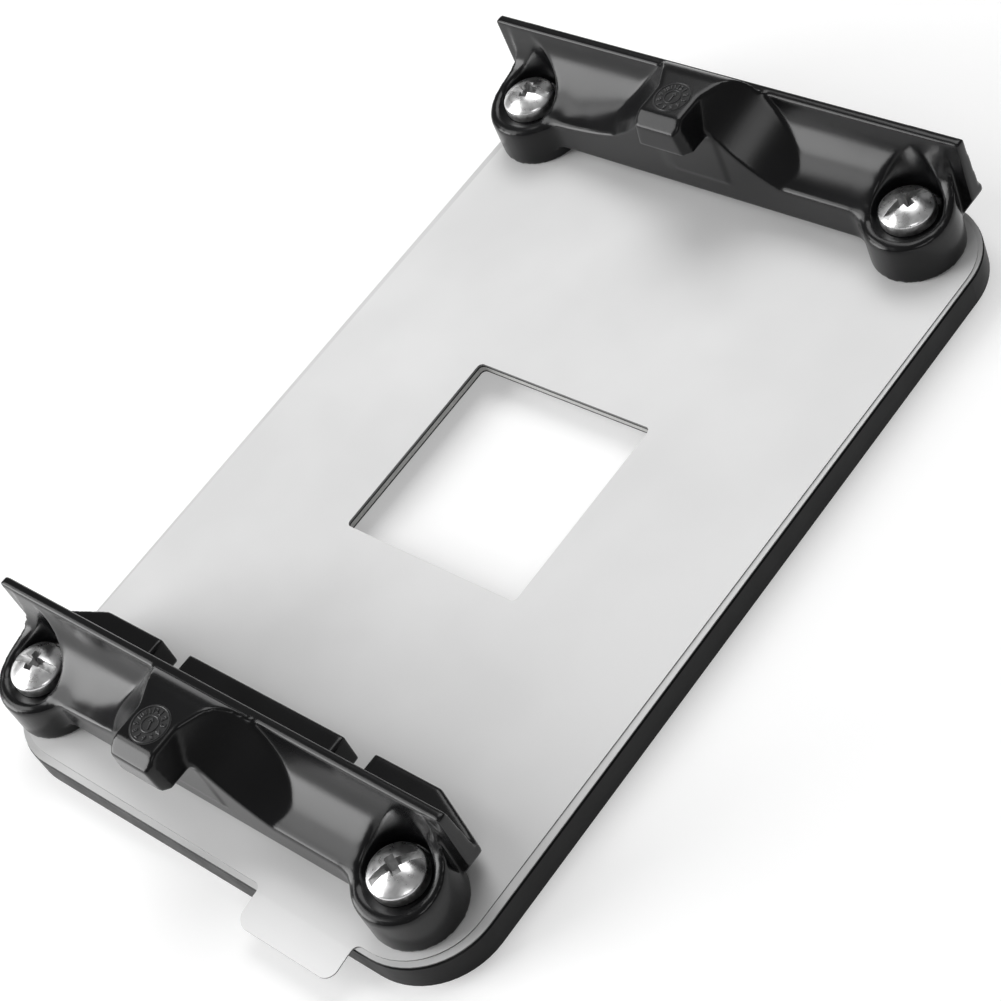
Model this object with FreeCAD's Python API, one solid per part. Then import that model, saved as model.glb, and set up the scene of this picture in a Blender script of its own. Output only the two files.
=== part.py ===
"""
CPU cooler backplate with two clip brackets, in millimetres.

X runs along the brackets, Y from the front bracket to the rear one, Z up. The origin is the
middle of the four screws, on the underside of the base plate.

A bracket is drawn at its own origin: the middle between its two screws, at the height of the
film it stands on. The front and the rear bracket are the same moulding, facing the same way.
"""
import FreeCAD, Part
import math
import os

V = FreeCAD.Vector

# Screw pattern
SCREW_PITCH_X = 54.0
SCREW_PITCH_Y = 90.0

# Base plate: a pan pressed from sheet steel, open underneath
PLATE_MARGIN_X = 6.5        # from the screw centres to the edge, before the offset
PLATE_MARGIN_Y = 7.0
PLATE_HEIGHT = 3.46
PLATE_SHEET = 1.0
PLATE_CORNER_R = 8.8
PLATE_EDGE = 0.25
PLATE_MIDDLE = (1.35, -0.15)    # where the plate's middle lies in the screw pattern
WINDOW_SIZE = 24.8
WINDOW_CORNER_R = 0.6
WINDOW_MIDDLE = (1.1, -0.15)

# Films on the plate
PAD_THICK = 0.15
PAD_INSET = 0.1
LINER_THICK = 0.15
LINER_INSET = 0.75
LINER_TURN = -0.4           # the liner is stuck on this many degrees askew
FILM_HOLE_R = 3.0
TAB_WIDTH = 13.5
TAB_MIDDLE_X = 17.6
TAB_REACH = 3.7             # past the edge of the plate
TAB_CORNER_R = 1.5
TAB_ROOT_R = 0.8
TAB_DROP = 0.5
TAB_MIDWAY_DROP = 0.17

# Threaded standoffs, pressed into the plate
STANDOFF_R = 2.5
STANDOFF_COLLAR_R = 3.4
STANDOFF_COLLAR_H = 1.0
THREAD_R = 1.7
SOCKET_GAP = 0.1

# Screws
SCREW_HEAD_R = 3.15
SCREW_HEAD_SIDE = 1.4
SCREW_HEAD_DOME = 1.2
SCREW_LENGTH = 7.2
SCREW_TOP_R = 1.5

# Bracket, heights from the film
BOSS_R = 5.31
BOSS_FRONT_H = 5.2
SEAT_H = 4.9
SEAT_THICK = 1.0
WELL_R = 3.9
SCREW_HOLE_R = 1.9
RAISE = 1.6                 # gap under everything but the bosses
WEB_FRONT_Y = -2.4
WEB_FRONT_H = 6.2
FLANGE_PAST_SCREW = 5.5
FLANGE_H = 13.3
FLANGE_FRONT_Y = 4.05
FLANGE_BACK_Y = 5.2
FLANGE_FOOT_Y = 5.8
FLANGE_END_H = 4.9
GUSSET_IN = 2.3
LEDGE_H = 5.75
LEDGE_BACK_Y = 9.35
LEDGE_GAP = 4.3
LEDGE_GAP_X = 13.75
LEDGE_CUT_BEFORE_SCREW = 2.2
LEDGE_CUT_Y = 6.1
CHANNEL_R = 8.0
RIM_R = 0.6
WEB_BEND_R = 3.0            # in plan, where the web's front face runs into a boss
BOSS_RIM = ((-1.0, 5.8), (1.5, 6.6), (2.9, 7.6), (3.7, 9.6))  # y and height, front to back

# Clip lug in the middle of the bracket
LUG_H = 16.1
LUG_TOP_HALF = 2.85
LUG_FOOT_HALF = 3.9
LUG_NOSE_HALF = 3.1
LUG_FRONT_Y = -6.2
LUG_FACET = 0.8
LUG_UNDER_H = 11.8
LUG_CHAMFER = (-4.55, 15.0)  # back edge of the front chamfer, and the height of its foot
LUG_FLAT_BACK_Y = 1.4
PAD_HALF = 4.3
PAD_FOOT_H = 4.5
PAD_TOP_H = 11.25
PAD_PROUD = 0.15
LUG_BACK_Y = -0.6           # how far back the nose reaches into the hump
FLANGE_EDGE_R = 0.2

# The lug's flanks: a round hollow on each side, its axis rising toward the back
FLANK_R = 18.3
FLANK_START = (12.36, -30.19, 12.0)
FLANK_RUN = (0.242, 0.878, 0.412)
FLANK_LENGTH = 50.0
HUMP_HALF = 15.4

# Pockets under the bracket
CORE_FRONT_Y = -0.9
CORE_TOP_H = 5.4
CORE_LEDGE_H = 4.4
CORE_BACK_Y = 8.0
CORE_MID_Y = 4.3
CORE_STEP_Y = 4.7
CORE_BAYS = ((0.7, 10.4, True), (11.6, 15.9, False), (17.1, 20.6, True))

PAD_TOP = PLATE_HEIGHT + PAD_THICK
FILM_TOP = PAD_TOP + LINER_THICK
SOCKET_H = SEAT_H - SEAT_THICK
SCREW_X = SCREW_PITCH_X / 2.0
SCREW_Y = SCREW_PITCH_Y / 2.0
PLATE_WIDTH = SCREW_PITCH_X + 2 * PLATE_MARGIN_X
PLATE_LENGTH = SCREW_PITCH_Y + 2 * PLATE_MARGIN_Y
FLANGE_HALF = SCREW_X + FLANGE_PAST_SCREW
LEDGE_CUT_X = SCREW_X - LEDGE_CUT_BEFORE_SCREW
CORNERS = {
    "front_left": (-SCREW_X, -SCREW_Y),
    "front_right": (SCREW_X, -SCREW_Y),
    "rear_left": (-SCREW_X, SCREW_Y),
    "rear_right": (SCREW_X, SCREW_Y),
}


def box(x0, x1, y0, y1, z0, z1):
    return Part.makeBox(x1 - x0, y1 - y0, z1 - z0, V(x0, y0, z0))


def post(x, y, radius, z0, z1):
    return Part.makeCylinder(radius, z1 - z0, V(x, y, z0))


def prism(points, run):
    """A closed outline of 3-D points, extruded by the vector run."""
    outline = Part.makePolygon(points + [points[0]])
    return Part.Face(outline).extrude(run)


def prism_x(profile, x0, x1):
    """A (y, z) profile extruded along X."""
    return prism([V(x0, y, z) for y, z in profile], V(x1 - x0, 0, 0))


def prism_y(profile, y0, y1):
    """An (x, z) profile extruded along Y."""
    return prism([V(x, y0, z) for x, z in profile], V(0, y1 - y0, 0))


def prism_z(profile, z0, z1):
    """An (x, y) profile extruded along Z."""
    return prism([V(x, y, z0) for x, y in profile], V(0, 0, z1 - z0))


def upright_edges(shape):
    """The straight vertical edges of a shape."""
    found = []
    for edge in shape.Edges:
        ends = edge.Vertexes
        if len(ends) == 2:
            step = ends[1].Point - ends[0].Point
            if math.hypot(step.x, step.y) < 1e-6:
                found.append(edge)
    return found


def rounded_box(x0, x1, y0, y1, z0, z1, radius):
    block = box(x0, x1, y0, y1, z0, z1)
    return block.makeFillet(radius, upright_edges(block))


def edges_at(shape, z):
    """The edges of a shape that lie flat at height z."""
    return [edge for edge in shape.Edges
            if abs(edge.BoundBox.ZMin - z) < 1e-6 and abs(edge.BoundBox.ZMax - z) < 1e-6]


def plate_slab(inset, z0, z1):
    """A slab of the plate's outline, drawn in by inset on every side."""
    x, y = PLATE_MIDDLE
    half_x = PLATE_WIDTH / 2.0 - inset
    half_y = PLATE_LENGTH / 2.0 - inset
    return rounded_box(x - half_x, x + half_x, y - half_y, y + half_y,
                       z0, z1, PLATE_CORNER_R - inset)


def window(z0, z1):
    x, y = WINDOW_MIDDLE
    half = WINDOW_SIZE / 2.0
    return rounded_box(x - half, x + half, y - half, y + half, z0, z1, WINDOW_CORNER_R)


def base_plate():
    pan = plate_slab(0.0, 0.0, PLATE_HEIGHT)
    pan = pan.makeChamfer(PLATE_EDGE, edges_at(pan, PLATE_HEIGHT))
    web_low = PLATE_HEIGHT - PLATE_SHEET
    pan = pan.cut(plate_slab(PLATE_SHEET, 0.0, web_low))
    pan = pan.cut(window(web_low, PLATE_HEIGHT))
    for x, y in CORNERS.values():
        pan = pan.cut(post(x, y, STANDOFF_R, web_low, PLATE_HEIGHT))
    return pan


def film_openings(z0, z1):
    """What is cut out of both films: the window and the four holes."""
    holes = [post(x, y, FILM_HOLE_R, z0, z1) for x, y in CORNERS.values()]
    return window(z0, z1).fuse(holes)


def insulator_pad():
    sheet = plate_slab(PAD_INSET, PLATE_HEIGHT, PAD_TOP)
    return sheet.cut(film_openings(PLATE_HEIGHT, PAD_TOP))


def release_liner():
    sheet = plate_slab(LINER_INSET, PAD_TOP, FILM_TOP).fuse(liner_tab())
    sheet.rotate(V(PLATE_MIDDLE[0], PLATE_MIDDLE[1], 0), V(0, 0, 1), LINER_TURN)
    return sheet.cut(film_openings(PAD_TOP, FILM_TOP)).removeSplitter()


def liner_tab():
    """The pull tab of the liner: flat at its root, bent down a little past the plate."""
    edge_y = PLATE_MIDDLE[1] - PLATE_LENGTH / 2.0
    root_y = edge_y + LINER_INSET
    tip_y = edge_y - TAB_REACH
    middle_y = (edge_y + tip_y) / 2.0
    low = PAD_TOP
    high = FILM_TOP
    sag = TAB_MIDWAY_DROP
    top = Part.Arc(V(0, edge_y, high), V(0, middle_y, high - sag), V(0, tip_y, high - TAB_DROP))
    under = Part.Arc(V(0, tip_y, low - TAB_DROP), V(0, middle_y, low - sag), V(0, edge_y, low))
    outline = Part.Wire([
        Part.makeLine(V(0, root_y, high), V(0, edge_y, high)),
        top.toShape(),
        Part.makeLine(V(0, tip_y, high - TAB_DROP), V(0, tip_y, low - TAB_DROP)),
        under.toShape(),
        Part.makeLine(V(0, edge_y, low), V(0, root_y, low)),
        Part.makeLine(V(0, root_y, low), V(0, root_y, high)),
    ])
    half = TAB_WIDTH / 2.0
    wide = half + TAB_ROOT_R
    strip = Part.Face(outline).extrude(V(2 * wide, 0, 0))
    strip.translate(V(TAB_MIDDLE_X - wide, 0, 0))
    # The plan of the tab, rounded at the tip and hollowed where it leaves the sheet
    plan = rounded_box(TAB_MIDDLE_X - half, TAB_MIDDLE_X + half, tip_y, root_y + TAB_CORNER_R,
                       0, 2 * FILM_TOP, TAB_CORNER_R)
    fillet_y = root_y - TAB_ROOT_R
    plan = plan.fuse(box(TAB_MIDDLE_X - wide, TAB_MIDDLE_X + wide, fillet_y, root_y,
                         0, 2 * FILM_TOP))
    for x in (TAB_MIDDLE_X - wide, TAB_MIDDLE_X + wide):
        plan = plan.cut(post(x, fillet_y, TAB_ROOT_R, 0, 2 * FILM_TOP))
    return strip.common(plan)


def standoff(x, y):
    collar_top = PLATE_HEIGHT - PLATE_SHEET
    collar_low = collar_top - STANDOFF_COLLAR_H
    top = FILM_TOP + SOCKET_H
    body = post(x, y, STANDOFF_COLLAR_R, collar_low, collar_top)
    body = body.fuse(post(x, y, STANDOFF_R, collar_top, top)).removeSplitter()
    return body.cut(post(x, y, THREAD_R, collar_low, top))


def screw(x, y):
    """A pan head screw as one turned profile, its shank filling the standoff's thread."""
    seat = FILM_TOP + SEAT_H
    side_top = seat + SCREW_HEAD_SIDE
    dome_top = side_top + SCREW_HEAD_DOME
    tip = seat - SCREW_LENGTH
    profile = [V(x, y, tip), V(x + THREAD_R, y, tip), V(x + THREAD_R, y, seat),
               V(x + SCREW_HEAD_R, y, seat), V(x + SCREW_HEAD_R, y, side_top),
               V(x + SCREW_TOP_R, y, dome_top), V(x, y, dome_top), V(x, y, tip)]
    return Part.Face(Part.makePolygon(profile)).revolve(V(x, y, 0), V(0, 0, 1), 360)


def arc_between(start, end, radius):
    """The middle of the arc from start to end in a (y, z) plane, hollow toward -y and +z."""
    chord = math.dist(start, end)
    sag = radius - math.sqrt(radius ** 2 - (chord / 2) ** 2)
    along = ((end[0] - start[0]) / chord, (end[1] - start[1]) / chord)
    return ((start[0] + end[0]) / 2 + along[1] * sag, (start[1] + end[1]) / 2 - along[0] * sag)


def channel():
    """Web, channel and flange between the two screws, drawn as one (y, z) section."""
    def at(point):
        return V(-SCREW_X, point[0], point[1])

    def line(start, end):
        return Part.makeLine(at(start), at(end))

    front_foot = (WEB_FRONT_Y, RAISE)
    front_top = (WEB_FRONT_Y, WEB_FRONT_H - RIM_R)
    rim = (WEB_FRONT_Y + RIM_R, WEB_FRONT_H)
    turn = math.sqrt(0.5) * RIM_R
    rim_middle = (rim[0] - turn, front_top[1] + turn)
    wall_top = (FLANGE_FRONT_Y, FLANGE_H)
    rear_top = (FLANGE_BACK_Y, FLANGE_H)
    rear_low = (FLANGE_FOOT_Y, LEDGE_H)
    rear_foot = (FLANGE_FOOT_Y, RAISE)
    section = Part.Wire([
        line(front_foot, front_top),
        Part.Arc(at(front_top), at(rim_middle), at(rim)).toShape(),
        Part.Arc(at(rim), at(arc_between(rim, wall_top, CHANNEL_R)), at(wall_top)).toShape(),
        line(wall_top, rear_top),
        line(rear_top, rear_low),
        line(rear_low, rear_foot),
        line(rear_foot, front_foot),
    ])
    return Part.Face(section).extrude(V(SCREW_PITCH_X, 0, 0))


def flange():
    """The thin upright wall along the whole bracket, with its ledges behind."""
    wall = prism_x([(FLANGE_FRONT_Y, RAISE), (FLANGE_FRONT_Y, FLANGE_H), (FLANGE_BACK_Y, FLANGE_H),
                    (FLANGE_FOOT_Y, LEDGE_H), (FLANGE_FOOT_Y, RAISE)], -FLANGE_HALF, FLANGE_HALF)
    ledge = prism_z([(-FLANGE_HALF, FLANGE_FRONT_Y), (-FLANGE_HALF, LEDGE_CUT_Y),
                     (-LEDGE_CUT_X, LEDGE_BACK_Y), (LEDGE_CUT_X, LEDGE_BACK_Y),
                     (FLANGE_HALF, LEDGE_CUT_Y), (FLANGE_HALF, FLANGE_FRONT_Y)], RAISE, LEDGE_H)
    for x in (-LEDGE_GAP_X, LEDGE_GAP_X):
        ledge = ledge.cut(box(x - LEDGE_GAP / 2, x + LEDGE_GAP / 2, FLANGE_FOOT_Y, LEDGE_BACK_Y,
                              RAISE, LEDGE_H))
    wall = wall.fuse(ledge)
    inner = FLANGE_HALF - GUSSET_IN
    for side in (-1, 1):
        under = prism_y([(side * inner, RAISE), (side * FLANGE_HALF, FLANGE_END_H),
                         (side * FLANGE_HALF, RAISE)], FLANGE_FRONT_Y, LEDGE_BACK_Y)
        wall = wall.cut(under)
    return wall


def boss_top():
    """All that lies under the rim of the bosses: a curve in side view, along the whole bracket."""
    rim = [V(-FLANGE_HALF, -BOSS_R, BOSS_FRONT_H)]
    rim += [V(-FLANGE_HALF, y, z) for y, z in BOSS_RIM]
    rim += [V(-FLANGE_HALF, FLANGE_FRONT_Y, FLANGE_H)]
    curve = Part.BSplineCurve()
    curve.interpolate(rim)
    corners = [rim[-1], V(-FLANGE_HALF, FLANGE_BACK_Y, FLANGE_H), V(-FLANGE_HALF, BOSS_R, LEDGE_H),
               V(-FLANGE_HALF, BOSS_R, 0), V(-FLANGE_HALF, -BOSS_R, 0), rim[0]]
    outline = Part.Wire([curve.toShape()] + [Part.makeLine(a, b)
                                             for a, b in zip(corners, corners[1:])])
    return Part.Face(outline).extrude(V(2 * FLANGE_HALF, 0, 0))


def boss(side):
    """A screw boss, with the bend that leads the web's front face into it; side is -1 or 1."""
    x = side * SCREW_X
    column = post(x, 0, BOSS_R, 0, FLANGE_H)
    reach = BOSS_R + WEB_BEND_R
    bend_y = WEB_FRONT_Y - WEB_BEND_R
    bend_in = math.sqrt(reach ** 2 - bend_y ** 2)
    touch_y = bend_y * BOSS_R / reach
    bend_x = side * (SCREW_X - bend_in)
    low_x, high_x = sorted((bend_x, x))
    fill = box(low_x, high_x, touch_y, WEB_FRONT_Y, RAISE, FLANGE_H)
    fill = fill.cut(post(bend_x, bend_y, WEB_BEND_R, RAISE, FLANGE_H))
    return column.fuse(fill).common(boss_top())


def hump():
    """What ties the lug to the flange: the lug's side view, wide, with the flanks hollowed out."""
    back_y = FLANGE_FRONT_Y - LUG_FLAT_BACK_Y
    back_z = LUG_H - FLANGE_H
    middle = V(-HUMP_HALF, LUG_FLAT_BACK_Y + back_y * math.sin(math.radians(45)),
               FLANGE_H + back_z * math.cos(math.radians(45)))
    points = [V(-HUMP_HALF, y, z) for y, z in (
        (FLANGE_FRONT_Y, FLANGE_H), (FLANGE_FRONT_Y, RAISE), (WEB_FRONT_Y, RAISE),
        (WEB_FRONT_Y, LUG_H), (LUG_FLAT_BACK_Y, LUG_H))]
    edges = [Part.makeLine(a, b) for a, b in zip(points, points[1:])]
    edges.append(Part.Arc(points[-1], middle, points[0]).toShape())
    body = Part.Face(Part.Wire(edges)).extrude(V(2 * HUMP_HALF, 0, 0))
    for side in (-1, 1):
        start = V(side * FLANK_START[0], FLANK_START[1], FLANK_START[2])
        run = V(side * FLANK_RUN[0], FLANK_RUN[1], FLANK_RUN[2])
        body = body.cut(Part.makeCylinder(FLANK_R, FLANK_LENGTH, start, run))
    return body


def nose():
    """The front of the lug, under which a spring clip hooks."""
    def ring(half_nose, half_side, z):
        return Part.makePolygon([
            V(-half_nose, LUG_FRONT_Y, z), V(half_nose, LUG_FRONT_Y, z),
            V(half_side, LUG_FRONT_Y + LUG_FACET, z), V(half_side, LUG_BACK_Y, z),
            V(-half_side, LUG_BACK_Y, z), V(-half_side, LUG_FRONT_Y + LUG_FACET, z),
            V(-half_nose, LUG_FRONT_Y, z)])

    facet_in = LUG_FOOT_HALF - LUG_NOSE_HALF
    block = Part.makeLoft([ring(LUG_NOSE_HALF, LUG_FOOT_HALF, LUG_UNDER_H),
                           ring(LUG_TOP_HALF - facet_in / 2, LUG_TOP_HALF, LUG_H)], True, True)
    chamfer_y, chamfer_foot = LUG_CHAMFER
    return block.cut(prism_x([(LUG_FRONT_Y, chamfer_foot), (chamfer_y, LUG_H),
                              (LUG_FRONT_Y, LUG_H)], -LUG_FOOT_HALF, LUG_FOOT_HALF))


def bracket():
    rail = channel().fuse(flange()).removeSplitter()
    rail = rail.makeFillet(FLANGE_EDGE_R, [edge for edge in edges_at(rail, FLANGE_H)
                                           if edge.BoundBox.XLength > SCREW_X])
    pad = box(-PAD_HALF, PAD_HALF, WEB_FRONT_Y - PAD_PROUD, WEB_FRONT_Y, PAD_FOOT_H, PAD_TOP_H)
    body = rail.fuse([hump(), nose(), pad, boss(-1), boss(1)])
    for near, far, deep in CORE_BAYS:
        profile = [(CORE_FRONT_Y, RAISE), (CORE_FRONT_Y, CORE_TOP_H), (CORE_MID_Y, CORE_TOP_H)]
        if deep:
            profile += [(CORE_STEP_Y, CORE_LEDGE_H), (CORE_BACK_Y, CORE_LEDGE_H),
                        (CORE_BACK_Y, RAISE)]
        else:
            profile += [(CORE_MID_Y, RAISE)]
        body = body.cut(prism_x(profile, near, far))
        body = body.cut(prism_x(profile, -far, -near))
    for x in (-SCREW_X, SCREW_X):
        body = body.cut(post(x, 0, WELL_R, SEAT_H, FLANGE_H))
        body = body.cut(post(x, 0, SCREW_HOLE_R, SOCKET_H, SEAT_H))
        body = body.cut(post(x, 0, STANDOFF_R + SOCKET_GAP, 0, SOCKET_H))
    return body.removeSplitter()


def placed(shape, y):
    shape = shape.copy()
    shape.translate(V(0, y, FILM_TOP))
    return shape


def main():
    moulding = bracket()
    parts = {
        "base_plate": base_plate(),
        "insulator_pad": insulator_pad(),
        "release_liner": release_liner(),
        "front_bracket": placed(moulding, -SCREW_Y),
        "rear_bracket": placed(moulding, SCREW_Y),
    }
    for corner, (x, y) in CORNERS.items():
        parts["standoff_" + corner] = standoff(x, y)
        parts["screw_" + corner] = screw(x, y)
    os.makedirs("parts", exist_ok=True)
    for name, shape in parts.items():
        shape.exportStep("parts/" + name + ".step")
        print(name, "volume", round(shape.Volume, 1), "valid", shape.isValid())


main()
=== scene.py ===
"""Looks of the CPU cooler backplate. Metres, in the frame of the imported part."""

import math

import bmesh
import bpy
from mathutils import Matrix, Vector


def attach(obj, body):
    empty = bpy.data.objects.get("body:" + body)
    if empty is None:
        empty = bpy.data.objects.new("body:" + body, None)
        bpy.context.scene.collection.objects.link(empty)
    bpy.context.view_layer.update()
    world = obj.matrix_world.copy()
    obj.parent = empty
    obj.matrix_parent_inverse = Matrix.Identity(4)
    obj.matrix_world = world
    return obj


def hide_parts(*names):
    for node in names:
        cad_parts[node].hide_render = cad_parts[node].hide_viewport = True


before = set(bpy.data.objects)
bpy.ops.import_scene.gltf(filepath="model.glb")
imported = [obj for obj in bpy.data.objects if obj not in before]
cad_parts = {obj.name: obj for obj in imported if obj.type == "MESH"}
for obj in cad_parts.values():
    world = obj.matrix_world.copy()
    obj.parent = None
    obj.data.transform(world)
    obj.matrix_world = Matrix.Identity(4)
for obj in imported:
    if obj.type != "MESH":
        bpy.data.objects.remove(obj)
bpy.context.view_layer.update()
MM = 0.001


def top_z(node):
    """Height of the top of a CAD node, in millimetres."""
    return max(vert.co.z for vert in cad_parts[node].data.vertices) / MM


# Camera of the photograph
LENS = 88.93
SENSOR_WIDTH = 36.0
CLIP_NEAR = 0.01
CLIP_FAR = 10.0
CAMERA_PLACE = Vector((161.97, -92.53, 196.80)) * MM
CAMERA_FORWARD = Vector((-0.59677, 0.33905, -0.72726))
CAMERA_RIGHT = Vector((0.73752, 0.58882, -0.33068))

# Room; a lamp has its place and size in metres and its power in watts
FLOOR_HALF = 1.5
FLOOR_COLOUR = "#d8d8d8"
FLOOR_LIFT = 0.38
WORLD_STRENGTH = 0.2
LAMPS = {
    "back_light": ((-0.16, 0.394, 0.736), (0.55, 0.55), 3.3),
    "front_left_light": ((-0.578, -0.578, 0.234), (0.5, 0.55), 6.6),
    "upper_left_light": ((-0.51, -0.319, 0.601), (0.5, 0.28), 2.0),
    "camera_side_light": ((0.509, -0.357, 0.503), (0.25, 0.25), 0.6),
}

# Sizes of the part that the details follow, in millimetres
SCREW_X = 27.0
SCREW_Y = 45.0
FILM_TOP = top_z("release_liner")
LUG_TOP_Z = top_z("front_bracket")
SEAT_Z = FILM_TOP + 4.9       # where the screw heads sit
WELL_R = 3.9
BOSS_R = 5.31
WINDOW_MIDDLE = (1.1, -0.15)
WINDOW_HALF = 12.4
WINDOW_SLACK = 0.02           # how far past the window's wall its bare metal is looked for
SHEET_THICK = 1.0
SHEET_MIDDLE_Z = top_z("base_plate") - SHEET_THICK / 2
BARE_HALF = 0.3               # half the height of the bare band in the window's wall

# Materials that several finishes share
TONE_SPAN = (0.35, 0.65)      # the part of the noise over which low turns to high
LUMP_DETAIL = 3.0
GRAIN_DETAIL = 2.0
NYLON_IOR = 1.53
FILM_IOR = 1.5
BARE_STEEL = "#c4c4c2"
SHADED_SIDE_NORMAL_Z = 0.5       # a film's face that points up less than this is a cut edge, darkened as painted shade

# Meshes
MERGE = 0.005
SHARP_ANGLE = math.radians(35)
ROUND_STEPS = 64

# Moulded brackets, in millimetres, y from the row of screws and z from the film
MOULDED_SHARP_ANGLE = math.radians(80)
VOXEL = 0.222
EDGE_ROUNDS = 3
LIP_ROUNDS = 20               # the boss lips are softened in this many shrinking zones
LIP_SPREAD = 1.2
LIP_BACK = 2.0
LIP_LOW_Z = 5.2
PAD_BLEND_ROUNDS = 30
PAD_FACE_Y = -2.0
PAD_LEFT_X = (-6.2, -3.2)
PAD_LEFT_Z = (2.4, 8.0)
RIM_DIP = 0.4                 # beside the left boss
RIM_DIP_X = -20.3
RIM_DIP_REACH = 5.2
RIM_RISE = 0.95               # towards the lug
RIM_RISE_FROM_X = -16.5
RIM_RISE_REACH = 6.5
RIM_FALL_FROM_X = -7.4
RIM_FALL_REACH = 2.2
RIM_FRONT_Y = -1.6
RIM_REACH_Y = 4.2
RIM_FOOT_Z = 3.6
RIM_REACH_Z = 2.2

# Screws, in millimetres from the seat
HEAD_R = 3.15
HEAD_SIDE = 1.4
HEAD_TOP = 2.6
HEAD_EDGE = 0.12
DOME_SHARES = (0.98, 0.93, 0.86, 0.76, 0.64, 0.5, 0.35, 0.18)  # of the head's radius
SHANK_R = 1.7
SHANK_END = -7.2
SHANK_NECK = 0.2              # plain under the head
TIP_CHAMFER = 0.4
THREAD_PITCH = 0.6
THREAD_DEPTH = 0.25
SLOT_WIDTH = 0.9
SLOT_DEPTH = 0.9
SLOT_LONG = 9.0
CUTTER_HIGH = 4.0
CROSS_HALF = 2.0
CROSS_WIDTH = 1.0
CROSS_DEPTH = 1.7
DRIVE_EDGE = 0.05
DRIVE_EDGE_STEPS = 2
SHADED_RECESS_DEEP = 0.12            # below the dome by more than this is in the recess, which gets painted shade
DRIVE_TURN = {"front_left": 8.0, "front_right": 62.0, "rear_left": 12.0, "rear_right": 70.0}

# Date dial on each lug, in millimetres
DIAL_MIDDLE_Y = -2.0
DIAL_DISC_R = 2.3
DIAL_DISC_RISE = 0.02
DIAL_R = 2.1
DIAL_INNER_R = 0.95
DIAL_RIB = 0.07
DIAL_RIB_STEPS = 4
DIAL_PROUD = 0.12
DIAL_HOURS = 12
DIGIT_CHAMFER = 0.04
DIGIT_SIZE = 0.8
DIGIT_RING_R = 1.54
ARROW_STEM = (0.16, 1.1)
ARROW_STEM_Y = -0.1
ARROW_HEAD = (0.62, 0.4)
ARROW_HEAD_Y = 0.5
ARROW_TIP_SHARE = 0.1         # of the head's width
DIAL_TURN = {"front": 20.0, "rear": 0.0}


# Materials

def linear(hex_colour):
    """A scene-linear RGBA colour from an sRGB hex string."""
    channels = [int(hex_colour[i:i + 2], 16) / 255 for i in (1, 3, 5)]
    return [c / 12.92 if c <= 0.04045 else ((c + 0.055) / 1.055) ** 2.4 for c in channels] + [1.0]


def add(tree, kind, feeds=None, **settings):
    """A shader node of this kind; feeds are its inputs, each a socket to link or a plain value."""
    node = tree.nodes.new(kind)
    for name, value in settings.items():
        setattr(node, name, value)
    for name, feed in (feeds or {}).items():
        if isinstance(feed, bpy.types.NodeSocket):
            tree.links.new(feed, node.inputs[name])
        else:
            node.inputs[name].default_value = feed
    return node


def finish(name, tones, roughness, lump_mm, grain_mm, grain_height_mm, **shader_values):
    """A material whose tone and roughness wander over lumps, under a finer raised grain.

    tones and roughness are each a pair, low and high; returns the material, its tree,
    the shader and the socket that carries the tone.
    """
    material = bpy.data.materials.new(name)
    material.use_nodes = True
    tree = material.node_tree
    tree.nodes.clear()
    place = add(tree, "ShaderNodeTexCoord").outputs["Object"]
    lumps = add(tree, "ShaderNodeTexNoise", {"Vector": place, "Scale": 1 / (lump_mm * MM),
                                             "Detail": LUMP_DETAIL}).outputs["Fac"]
    grain = add(tree, "ShaderNodeTexNoise", {"Vector": place, "Scale": 1 / (grain_mm * MM),
                                             "Detail": GRAIN_DETAIL}).outputs["Fac"]
    tone = add(tree, "ShaderNodeValToRGB", {"Fac": lumps})
    for stop, where, colour in zip(tone.color_ramp.elements, TONE_SPAN, tones):
        stop.position, stop.color = where, linear(colour)
    gloss = add(tree, "ShaderNodeMapRange",
                {"Value": lumps, "From Min": TONE_SPAN[0], "From Max": TONE_SPAN[1],
                 "To Min": roughness[0], "To Max": roughness[1]})
    raised = add(tree, "ShaderNodeBump", {"Height": grain, "Distance": grain_height_mm * MM})
    shader = add(tree, "ShaderNodeBsdfPrincipled",
                 {"Base Color": tone.outputs["Color"], "Roughness": gloss.outputs["Result"],
                  "Normal": raised.outputs["Normal"], **shader_values})
    add(tree, "ShaderNodeOutputMaterial", {"Surface": shader.outputs["BSDF"]})
    return material, tree, shader, tone.outputs["Color"]


def black_plastic():
    """Black glass-filled nylon from a polished mould: near black, with broad soft highlights.

    Its finest texture scatters part of the mirror image, so the reflections are weakened.
    """
    return finish("gloss_black_nylon", tones=("#0e0e0f", "#121213"), roughness=(0.2, 0.24),
                  lump_mm=9.0, grain_mm=0.5, grain_height_mm=0.0003,
                  IOR=NYLON_IOR, **{"Specular IOR Level": 0.28})[0]


def dial_plastic():
    """The same nylon on the raised marks of the date pin, a shade lighter in tone as painted
    highlight where they stand up.
    """
    return finish("pin_black_nylon_painted_highlight", tones=("#2c2c2d", "#3a3a3b"),
                  roughness=(0.3, 0.4), lump_mm=1.0, grain_mm=0.3, grain_height_mm=0.001,
                  IOR=NYLON_IOR)[0]


def dial_ground():
    """The same nylon off the spark-eroded ground of the pin: matt, and a little darker in tone as
    painted shade of the recessed ground.
    """
    return finish("matt_black_nylon_painted_shade", tones=("#0a0a0b", "#0e0e0f"), roughness=(0.6, 0.7),
                  lump_mm=1.0, grain_mm=0.15, grain_height_mm=0.003, IOR=NYLON_IOR)[0]


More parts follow.
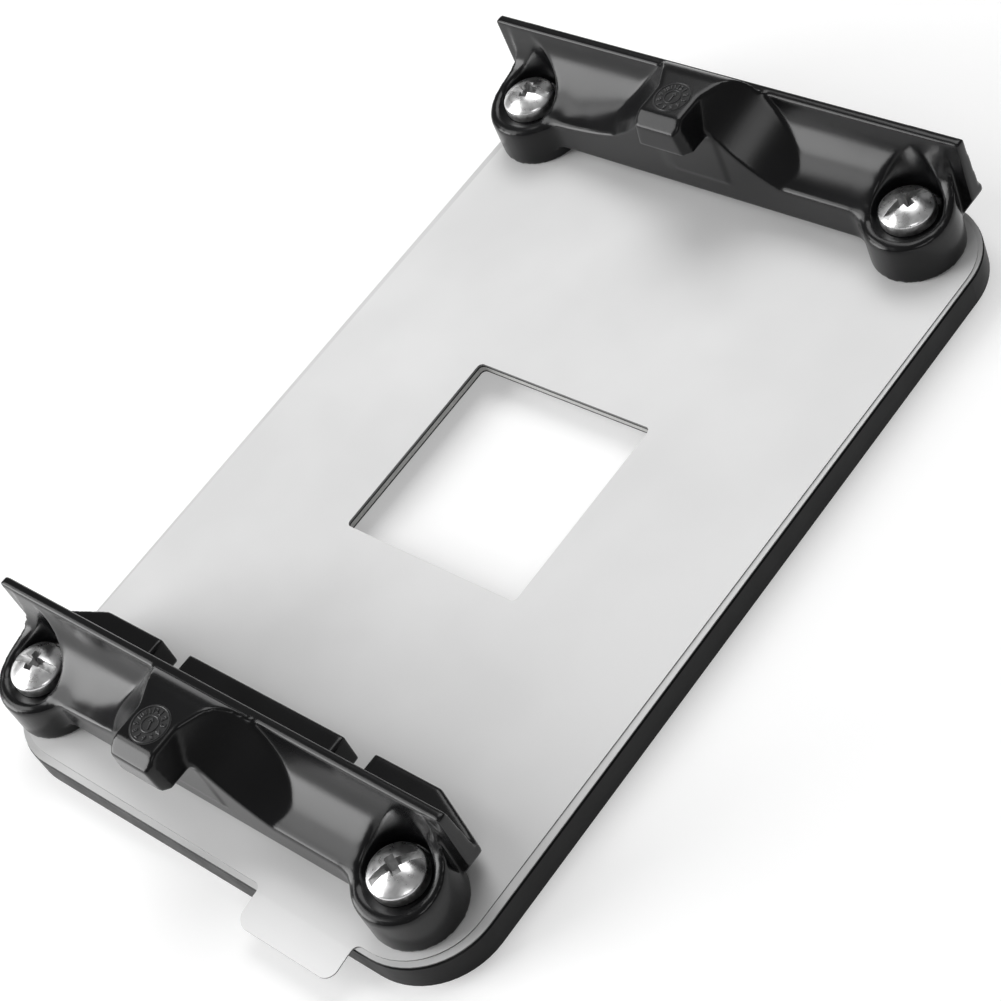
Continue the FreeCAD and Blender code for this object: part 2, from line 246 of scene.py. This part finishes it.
def coated_steel():
    """Cold-rolled steel under a black electro-coat with slight orange peel.

    The window is punched after coating, so its walls show a bright band of bare metal.
    """
    material, tree, shader, coat = finish(
        "black_coated_steel", tones=("#0e0e0f", "#141415"), roughness=(0.35, 0.45),
        lump_mm=4.0, grain_mm=0.7, grain_height_mm=0.006, **{"Specular IOR Level": 0.15})
    place = add(tree, "ShaderNodeTexCoord").outputs["Object"]
    window = (WINDOW_MIDDLE[0] * MM, WINDOW_MIDDLE[1] * MM, SHEET_MIDDLE_Z * MM)
    off = add(tree, "ShaderNodeVectorMath", {0: place, 1: window}, operation="SUBTRACT")
    far = add(tree, "ShaderNodeVectorMath", {0: off.outputs["Vector"]}, operation="ABSOLUTE")
    axes = add(tree, "ShaderNodeSeparateXYZ", {"Vector": far.outputs["Vector"]})
    widest = add(tree, "ShaderNodeMath", {0: axes.outputs["X"], 1: axes.outputs["Y"]},
                 operation="MAXIMUM")
    wall = add(tree, "ShaderNodeMath",
               {0: widest.outputs["Value"], 1: (WINDOW_HALF + WINDOW_SLACK) * MM},
               operation="LESS_THAN")
    band = add(tree, "ShaderNodeMath", {0: axes.outputs["Z"], 1: BARE_HALF * MM},
               operation="LESS_THAN")
    bare = add(tree, "ShaderNodeMath", {0: wall.outputs["Value"], 1: band.outputs["Value"]},
               operation="MULTIPLY")
    tone = add(tree, "ShaderNodeMix", {"Factor": bare.outputs["Value"], "A": coat,
                                       "B": linear(BARE_STEEL)}, data_type="RGBA")
    tree.links.new(tone.outputs["Result"], shader.inputs["Base Color"])
    return material


def film(name, tones, side_shade_tone, roughness, lump_mm, wave_mm, wave_height_mm):
    """Polyester film over pale adhesive: smooth, pale and a little cloudy; its sideways-facing cut
    edges are toned darker grey as painted shade.
    """
    material, tree, shader, face_tone = finish(name, tones, roughness, lump_mm, wave_mm,
                                               wave_height_mm, IOR=FILM_IOR)
    # faces that point sideways take the edge tone: painted shade on the cut edges
    facing = add(tree, "ShaderNodeNewGeometry").outputs["True Normal"]
    axes = add(tree, "ShaderNodeSeparateXYZ", {"Vector": facing})
    edge = add(tree, "ShaderNodeMath", {0: axes.outputs["Z"], 1: SHADED_SIDE_NORMAL_Z},
               operation="LESS_THAN")
    tone = add(tree, "ShaderNodeMix", {"Factor": edge.outputs["Value"], "A": face_tone,
                                       "B": linear(side_shade_tone)}, data_type="RGBA")
    tree.links.new(tone.outputs["Result"], shader.inputs["Base Color"])
    return material


def nickel_plate():
    """Nickel-plated steel: bright and mirror-like, faintly dulled by tumbling in the barrel."""
    return finish("bright_nickel_plate", tones=("#e6e6e6", "#f4f4f4"), roughness=(0.26, 0.34),
                  lump_mm=0.8, grain_mm=0.5, grain_height_mm=0.004, Metallic=1.0)[0]


def recess_plate():
    """The plating down in a driver recess: a little duller, and darker in tone as painted shade of
    the recess.
    """
    return finish("nickel_plate_painted_recess_shade", tones=("#a8a8a8", "#c0c0c0"), roughness=(0.35, 0.45),
                  lump_mm=0.5, grain_mm=0.3, grain_height_mm=0.004, Metallic=1.0)[0]


def zinc_plate():
    """Zinc-plated steel: grey and satin."""
    return finish("zinc_plated_steel", tones=("#a8a8a6", "#c2c2c0"), roughness=(0.26, 0.36),
                  lump_mm=0.8, grain_mm=0.5, grain_height_mm=0.006, Metallic=1.0)[0]


def white_board():
    """Matt white board with a trace of paper grain; its lift makes it read as paper white."""
    material, tree, shader, _ = finish("matt_white_board", tones=(FLOOR_COLOUR, FLOOR_COLOUR),
                                       roughness=(0.85, 0.9), lump_mm=40.0, grain_mm=3.0,
                                       grain_height_mm=0.005)
    rays = add(tree, "ShaderNodeLightPath")
    mirrored = add(tree, "ShaderNodeMath", {0: rays.outputs["Is Glossy Ray"],
                                            1: rays.outputs["Is Transmission Ray"]},
                   operation="MAXIMUM")
    seen = add(tree, "ShaderNodeMath", {0: rays.outputs["Is Camera Ray"],
                                        1: mirrored.outputs["Value"]}, operation="MAXIMUM")
    lift = add(tree, "ShaderNodeMath", {0: seen.outputs["Value"], 1: FLOOR_LIFT},
               operation="MULTIPLY")
    shader.inputs["Emission Color"].default_value = (1, 1, 1, 1)
    tree.links.new(lift.outputs["Value"], shader.inputs["Emission Strength"])
    return material


# Pieces; every bmesh is in millimetres until its mesh is made

def dress(node, material):
    """Gives a CAD node its material."""
    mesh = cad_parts[node].data
    mesh.materials.clear()
    mesh.materials.append(material)


def shaded(body, name, sharp=SHARP_ANGLE):
    """A mesh in metres, smooth except across its sharp edges; the bmesh is used up."""
    bmesh.ops.scale(body, verts=body.verts, vec=(MM, MM, MM))
    for face in body.faces:
        face.smooth = True
    for edge in body.edges:
        edge.smooth = edge.calc_face_angle(0) < sharp
    mesh = bpy.data.meshes.new(name)
    body.to_mesh(mesh)
    body.free()
    return mesh


def as_piece(name, mesh, materials, replaced=None):
    """A finished piece of the part, riding with its body; it may stand in for a CAD node."""
    piece = bpy.data.objects.new(name, mesh)
    bpy.context.collection.objects.link(piece)
    for material in materials:
        mesh.materials.append(material)
    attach(piece, "root")
    if replaced:
        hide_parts(replaced)


def holder(name, body):
    """A plain object around a bmesh, for a modifier to work on."""
    mesh = bpy.data.meshes.new(name)
    body.to_mesh(mesh)
    body.free()
    piece = bpy.data.objects.new(name, mesh)
    bpy.context.collection.objects.link(piece)
    return piece


def settled(piece):
    """The bmesh of a piece with its modifiers applied; the piece is done with."""
    graph = bpy.context.evaluated_depsgraph_get()
    mesh = bpy.data.meshes.new_from_object(piece.evaluated_get(graph))
    bpy.data.objects.remove(piece)
    body = bmesh.new()
    body.from_mesh(mesh)
    return body


def add_body(body, other):
    """Puts a second bmesh into the first and uses it up; returns the new vertices."""
    mesh = bpy.data.meshes.new("joined")
    other.to_mesh(mesh)
    other.free()
    before = len(body.verts)
    body.from_mesh(mesh)
    return list(body.verts)[before:]


def smooth(body, verts, rounds):
    """Draws each vertex halfway towards the middle of its neighbours, this many times."""
    for _ in range(rounds):
        bmesh.ops.smooth_vert(body, verts=verts, factor=0.5, use_axis_x=True, use_axis_y=True,
                              use_axis_z=True)


def off_lip(vert, y):
    """How far a point of a bracket is from the wall of the nearer screw boss."""
    back = vert.co.y - y
    away = math.hypot(abs(vert.co.x) - SCREW_X, back)
    return max(WELL_R - away, away - BOSS_R, back - LIP_BACK,
               FILM_TOP + LIP_LOW_Z - vert.co.z, 0.0)


def eased(share):
    """A share held between 0 and 1, easing in and out."""
    share = min(max(share, 0.0), 1.0)
    return share * share * (3 - 2 * share)


def rim_rise(x):
    """How much higher the front rim stands left of the lug than its plain curve."""
    dip = 1 - eased(abs(x - RIM_DIP_X) / RIM_DIP_REACH)
    rise = eased((x - RIM_RISE_FROM_X) / RIM_RISE_REACH)
    fall = 1 - eased((x - RIM_FALL_FROM_X) / RIM_FALL_REACH)
    return RIM_RISE * rise * fall - RIM_DIP * dip


def shape_left_rim(body, y):
    """Lets the rim dip beside the left boss and sweep up early to the lug."""
    for vert in body.verts:
        front = 1 - eased((vert.co.y - y - RIM_FRONT_Y) / RIM_REACH_Y)
        high = eased((vert.co.z - FILM_TOP - RIM_FOOT_Z) / RIM_REACH_Z)
        vert.co.z += rim_rise(vert.co.x) * front * high


def on_pad_blend(vert, y):
    """True where the raised pad under the lug fades into the web, at its left edge."""
    high = vert.co.z - FILM_TOP
    return (vert.co.y - y < PAD_FACE_Y and PAD_LEFT_X[0] < vert.co.x < PAD_LEFT_X[1]
            and PAD_LEFT_Z[0] < high < PAD_LEFT_Z[1])


def moulding(node, y, material):
    """A copy of a bracket with moulded edges: softly rounded, most round the screw bosses."""
    body = bmesh.new()
    body.from_mesh(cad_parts[node].data)
    bmesh.ops.scale(body, verts=body.verts, vec=(1 / MM, 1 / MM, 1 / MM))
    bmesh.ops.remove_doubles(body, verts=body.verts, dist=MERGE)
    core = holder(node + "_core", body)
    skin = core.modifiers.new("even_skin", "REMESH")
    skin.mode = "VOXEL"
    skin.voxel_size = VOXEL
    body = settled(core)
    shape_left_rim(body, y)
    smooth(body, body.verts, EDGE_ROUNDS)
    for step in range(LIP_ROUNDS):
        reach = LIP_SPREAD * (1 - step / LIP_ROUNDS)
        smooth(body, [vert for vert in body.verts if off_lip(vert, y) < reach], 1)
    smooth(body, [vert for vert in body.verts if on_pad_blend(vert, y)], PAD_BLEND_ROUNDS)
    name = node + "_moulding"
    as_piece(name, shaded(body, name, MOULDED_SHARP_ANGLE), [material], node)


def spun(profile, closed=False):
    """A solid of revolution from (radius, height) points; a closed profile makes a ring."""
    body = bmesh.new()
    verts = [body.verts.new((r, 0, h)) for r, h in profile]
    others = verts[1:] + verts[:1] if closed else verts[1:]
    edges = [body.edges.new(pair) for pair in zip(verts, others)]
    bmesh.ops.spin(body, geom=verts + edges, cent=(0, 0, 0), axis=(0, 0, 1),
                   angle=math.tau, steps=ROUND_STEPS, use_merge=True)
    bmesh.ops.remove_doubles(body, verts=body.verts, dist=MERGE)
    bmesh.ops.recalc_face_normals(body, faces=body.faces)
    return body


def block(body, size, middle, foot_share=1.0):
    """A box added to a bmesh, its foot narrowed in X to foot_share of its top."""
    made = bmesh.ops.create_cube(body, size=1.0)["verts"]
    bmesh.ops.scale(body, verts=made, vec=size)
    foot = [vert for vert in made if vert.co.z < 0]
    bmesh.ops.scale(body, verts=foot, vec=(foot_share, 1, 1))
    bmesh.ops.translate(body, verts=made, vec=middle)
    return made


def turned(body, verts, degrees):
    """Turns vertices about the Z axis."""
    bmesh.ops.rotate(body, verts=verts, cent=(0, 0, 0),
                     matrix=Matrix.Rotation(math.radians(degrees), 3, "Z"))


def dome_z(r):
    """Height of a screw's domed top at a radius."""
    rise = HEAD_TOP - HEAD_SIDE
    dome_r = (HEAD_R ** 2 + rise ** 2) / (2 * rise)
    return HEAD_TOP - dome_r + math.sqrt(dome_r ** 2 - r ** 2)


def screw_profile():
    """Half of a screw's outline: tip, thread, underside, side and domed top."""
    points = [(0, SHANK_END), (SHANK_R - TIP_CHAMFER, SHANK_END)]
    height = SHANK_END + TIP_CHAMFER
    while height < -THREAD_PITCH:
        points.append((SHANK_R, height))
        points.append((SHANK_R - THREAD_DEPTH, height + THREAD_PITCH / 2))
        height += THREAD_PITCH
    points += [(SHANK_R, -SHANK_NECK), (SHANK_R, 0), (HEAD_R - HEAD_EDGE, 0),
               (HEAD_R, HEAD_EDGE), (HEAD_R, HEAD_SIDE - HEAD_EDGE)]
    points += [(HEAD_R * share, dome_z(HEAD_R * share)) for share in DOME_SHARES]
    return points + [(0, HEAD_TOP)]


def drive_cutters():
    """The slot and the two arms of the cross that are cut from a screw's head."""
    foot_share = CROSS_WIDTH / (2 * CROSS_HALF)
    slot_z = HEAD_TOP - SLOT_DEPTH + CUTTER_HIGH / 2
    slot, arm, other_arm = bmesh.new(), bmesh.new(), bmesh.new()
    block(slot, (SLOT_LONG, SLOT_WIDTH, CUTTER_HIGH), (0, 0, slot_z))
    for body in (arm, other_arm):
        block(body, (2 * CROSS_HALF, CROSS_WIDTH, 2 * CROSS_DEPTH), (0, 0, HEAD_TOP), foot_share)
    turned(other_arm, other_arm.verts, 90)
    return [holder("cutter", body) for body in (slot, arm, other_arm)]


def screw(corner, x, y, materials):
    """A pan head screw with a slot and a cross recess, softened along its edges.

    materials are its plating and the plating of the recess, which is darker as painted shade.
    """
    core = holder("screw_core", spun(screw_profile()))
    cutters = drive_cutters()
    for cutter in cutters:
        cut = core.modifiers.new("drive", "BOOLEAN")
        cut.operation = "DIFFERENCE"
        cut.solver = "EXACT"
        cut.object = cutter
    body = settled(core)
    for cutter in cutters:
        bpy.data.objects.remove(cutter)
    # faces sunk below the dome take the second material, toned as painted shade
    for face in body.faces:
        middle = face.calc_center_median()
        r = math.hypot(middle.x, middle.y)
        low = r < HEAD_R and dome_z(r) - middle.z > SHADED_RECESS_DEEP
        face.material_index = int(low and middle.z > HEAD_EDGE)
    core = holder("screw_core", body)
    soften = core.modifiers.new("soften", "BEVEL")
    soften.width = DRIVE_EDGE
    soften.segments = DRIVE_EDGE_STEPS
    soften.limit_method = "ANGLE"
    soften.angle_limit = SHARP_ANGLE
    body = settled(core)
    turned(body, body.verts, DRIVE_TURN[corner])
    bmesh.ops.translate(body, verts=body.verts, vec=(x, y, SEAT_Z))
    name = "pan_head_screw_" + corner
    as_piece(name, shaded(body, name), materials, "screw_" + corner)


def number_body(text):
    """A small raised number as a bmesh, centred on the origin."""
    curve = bpy.data.curves.new("number", "FONT")
    curve.body = text
    curve.size = DIGIT_SIZE
    curve.extrude = DIAL_PROUD - DIGIT_CHAMFER
    curve.bevel_depth = DIGIT_CHAMFER
    curve.bevel_resolution = 0
    curve.align_x = "CENTER"
    curve.align_y = "CENTER"
    curve.resolution_u = 2
    piece = bpy.data.objects.new("number", curve)
    bpy.context.collection.objects.link(piece)
    return settled(piece)


def half_round(radius):
    """Profile of a low rib that rings the dial."""
    angles = [step * math.pi / DIAL_RIB_STEPS for step in range(DIAL_RIB_STEPS + 1)]
    return [(radius + DIAL_RIB * math.cos(a), DIAL_PROUD * math.sin(a)) for a in angles]


def dial_arrow(marks):
    """Adds the small arrow in the middle of the dial, pointing along Y."""
    block(marks, (*ARROW_STEM, 2 * DIAL_PROUD), (0, ARROW_STEM_Y, 0))
    head = block(marks, (*ARROW_HEAD, 2 * DIAL_PROUD), (0, ARROW_HEAD_Y, 0))
    tip = [vert for vert in head if vert.co.y > ARROW_HEAD_Y]
    bmesh.ops.scale(marks, verts=tip, vec=(ARROW_TIP_SHARE, 1, 1))


def date_dial(side, y, ground_shade_material, mark_highlight_material):
    """The moulder's dial on a lug: numbers in a ring round a small arrow, on a matt disc; the disc
    is toned with painted shade, the marks with painted highlight.
    """
    disc = spun([(0, -DIAL_DISC_RISE), (DIAL_DISC_R, -DIAL_DISC_RISE),
                 (DIAL_DISC_R, DIAL_DISC_RISE), (0, DIAL_DISC_RISE)])
    marks = bmesh.new()
    for radius in (DIAL_R, DIAL_INNER_R):
        add_body(marks, spun(half_round(radius), closed=True))
    for hour in range(1, DIAL_HOURS + 1):
        made = add_body(marks, number_body(str(hour)))
        bmesh.ops.translate(marks, verts=made, vec=(0, DIGIT_RING_R, 0))
        turned(marks, made, -360 / DIAL_HOURS * hour)
    dial_arrow(marks)
    turned(marks, marks.verts, DIAL_TURN[side])
    for name, body, material in (("dial_ground_", disc, ground_shade_material),
                                 ("dial_marks_", marks, mark_highlight_material)):
        bmesh.ops.translate(body, verts=body.verts, vec=(0, y + DIAL_MIDDLE_Y, LUG_TOP_Z))
        as_piece(name + side, shaded(body, name + side), [material])


# Room and camera

def floor():
    """The wide white board that the part lies on."""
    body = bmesh.new()
    bmesh.ops.create_grid(body, x_segments=1, y_segments=1, size=FLOOR_HALF)
    piece = holder("floor", body)
    piece.data.materials.append(white_board())


def camera():
    """The camera that was fitted to the photograph."""
    data = bpy.data.cameras.new("camera")
    data.lens = LENS
    data.sensor_width = SENSOR_WIDTH
    data.clip_start = CLIP_NEAR
    data.clip_end = CLIP_FAR
    piece = bpy.data.objects.new("camera", data)
    bpy.context.collection.objects.link(piece)
    back = -CAMERA_FORWARD.normalized()
    right = CAMERA_RIGHT.normalized()
    up = back.cross(right)
    piece.matrix_world = Matrix.Translation(CAMERA_PLACE) @ Matrix(
        (right, up, back)).transposed().to_4x4()
    bpy.context.scene.camera = piece


def area_light(name, place, size, power):
    """A soft rectangular lamp that looks at the part."""
    data = bpy.data.lights.new(name, "AREA")
    data.shape = "RECTANGLE"
    data.size, data.size_y = size
    data.energy = power
    piece = bpy.data.objects.new(name, data)
    bpy.context.collection.objects.link(piece)
    piece.location = place
    piece.rotation_euler = (-Vector(place)).to_track_quat("-Z", "Y").to_euler()


def lights():
    """The lamps round the part, and an even white world that fills the shadows."""
    for name, (place, size, power) in LAMPS.items():
        area_light(name, place, size, power)
    world = bpy.data.worlds.new("studio")
    world.use_nodes = True
    background = world.node_tree.nodes["Background"]
    background.inputs["Color"].default_value = (1, 1, 1, 1)
    background.inputs["Strength"].default_value = WORLD_STRENGTH
    bpy.context.scene.world = world


nylon = black_plastic()
# the pin's ground material is toned with painted shade, its marks material with painted highlight
pin_ground_shade, painted_highlight_nylon = dial_ground(), dial_plastic()
# the second plating is toned darker as painted shade in the screw recesses
plating = [nickel_plate(), recess_plate()]
zinc = zinc_plate()
for side, y in (("front", -SCREW_Y), ("rear", SCREW_Y)):
    moulding(side + "_bracket", y, nylon)
    date_dial(side, y, pin_ground_shade, painted_highlight_nylon)
    for hand, x in (("left", -SCREW_X), ("right", SCREW_X)):
        screw(side + "_" + hand, x, y, plating)
        dress("standoff_" + side + "_" + hand, zinc)
dress("base_plate", coated_steel())
# the films' edge tones are painted shade on their cut edges
dress("insulator_pad", film("clear_grey_film", tones=("#cdcdcd", "#d6d6d6"),
                            side_shade_tone="#6a6a6a", roughness=(0.35, 0.45), lump_mm=16.0,
                            wave_mm=9.0, wave_height_mm=0.015))
dress("release_liner", film("silver_grey_liner", tones=("#dadada", "#e2e2e2"),
                            side_shade_tone="#7a7a7a", roughness=(0.4, 0.5), lump_mm=22.0,
                            wave_mm=14.0, wave_height_mm=0.02))
floor()
camera()
lights()
bpy.context.scene.view_settings.view_transform = "Standard"
